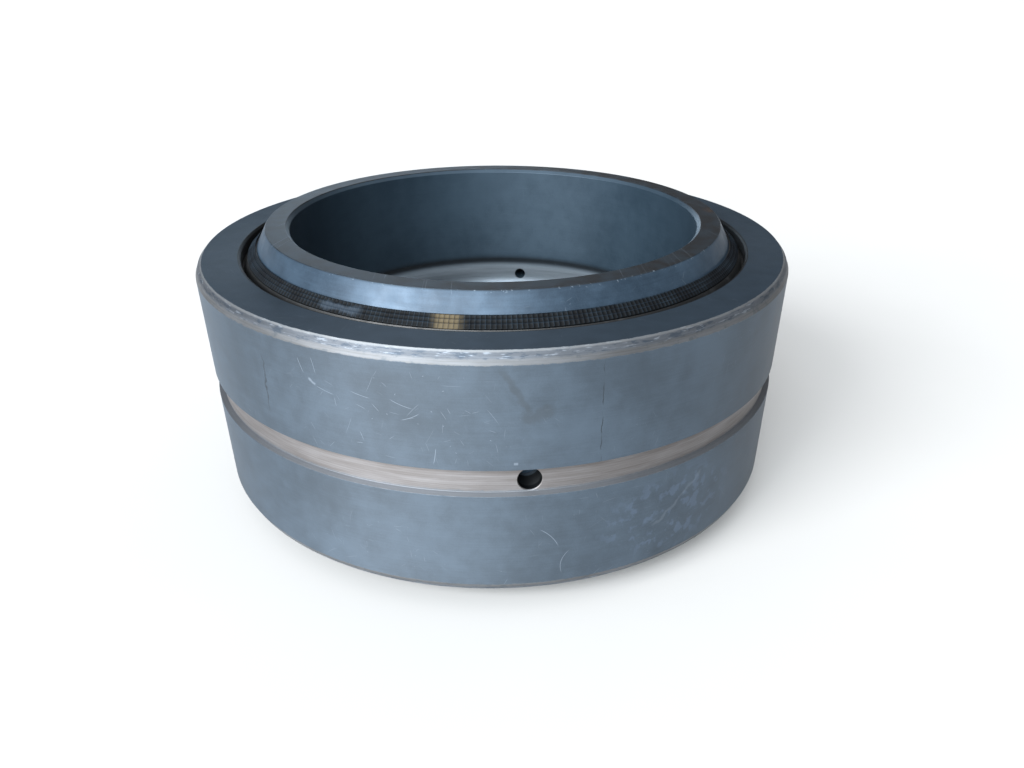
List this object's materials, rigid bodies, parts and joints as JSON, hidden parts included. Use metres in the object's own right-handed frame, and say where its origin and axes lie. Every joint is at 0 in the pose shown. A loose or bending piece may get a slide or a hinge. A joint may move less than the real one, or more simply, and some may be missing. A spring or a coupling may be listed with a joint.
{
  "type": "radial spherical plain bearing",
  "caption": "Sealed radial spherical plain bearing: an inner ring with a ball surface turns and tilts in a grooved outer ring with oil holes",
  "frame": {"origin": "the centre of the ball, which is also the centre of both rings", "axes": "+Z is the bore axis; both ends are alike; the first outer oil hole is near -Y, turned a few degrees towards +X"},
  "size_m": [0.13, 0.13, 0.06],
  "materials": {
    "phosphated_steel": "satin phosphate coat, scratched, with bare metal on the edge breaks and in the groove",
    "blued_steel": "satin blue-grey phosphate coat with a smoother ball surface",
    "seal_rubber": "matt black",
    "seal_weave": "coarse dark weave, coated"
  },
  "bodies": {
    "outer_body": {"outer_ring": "phosphated_steel"},
    "seal_body": {"upper_seal": "seal_rubber", "lower_seal": "seal_rubber", "upper_seal_weave": "seal_weave", "lower_seal_weave": "seal_weave"},
    "inner_body": {"inner_ring": "blued_steel"}
  },
  "joints": [
    {"name": "inner_ring_turn", "type": "hinge", "parent": "outer_body", "child": "seal_body", "pos_m": [0, 0, 0], "axis": [0, 0, 1], "continuous": true},
    {"name": "inner_ring_tilt", "type": "hinge", "parent": "seal_body", "child": "inner_body", "pos_m": [0, 0, 0], "axis": [1, 0, 0], "range_deg": [-4, 4]}
  ]
}
